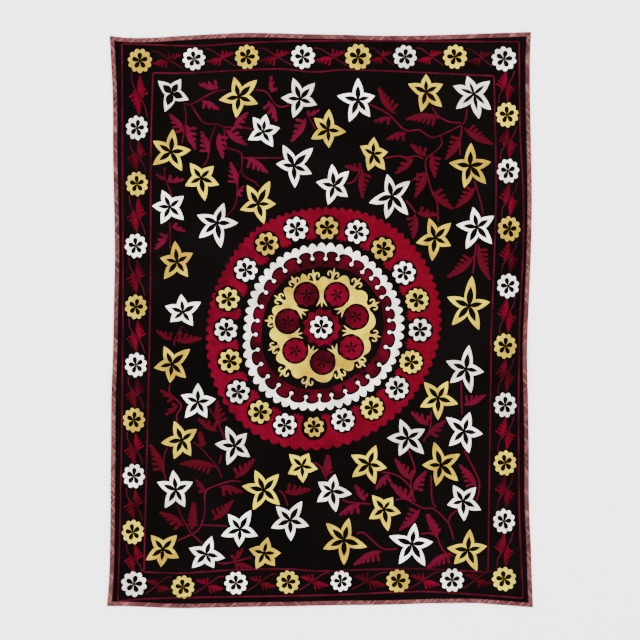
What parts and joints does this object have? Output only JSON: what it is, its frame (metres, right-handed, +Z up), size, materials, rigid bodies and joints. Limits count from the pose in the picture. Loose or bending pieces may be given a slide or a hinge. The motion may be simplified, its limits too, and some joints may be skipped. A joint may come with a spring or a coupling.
{
  "type": "embroidered wall hanging",
  "caption": "Black cotton suzani lying flat, with a round medallion, star flowers, vines and a rosette border in chain stitch, bound with a pink woven braid.",
  "frame": {"origin": "under the middle of the cloth, on the floor it lies on", "axes": "+X across the cloth to the right and +Y up its length, as seen from above; +Z up, out of its embroidered face"},
  "size_m": [1.491, 2.0161, 0.0074],
  "materials": {
    "black_cotton": "plain woven black cotton, matt",
    "pink_braid": "narrow woven braid in dull pink, dark red and pale strands"
  },
  "bodies": {
    "root": {"ground_cloth": "black_cotton", "edge_braid_top": "pink_braid", "edge_braid_right": "pink_braid", "edge_braid_bottom": "pink_braid", "edge_braid_left": "pink_braid"}
  },
  "joints": []
}
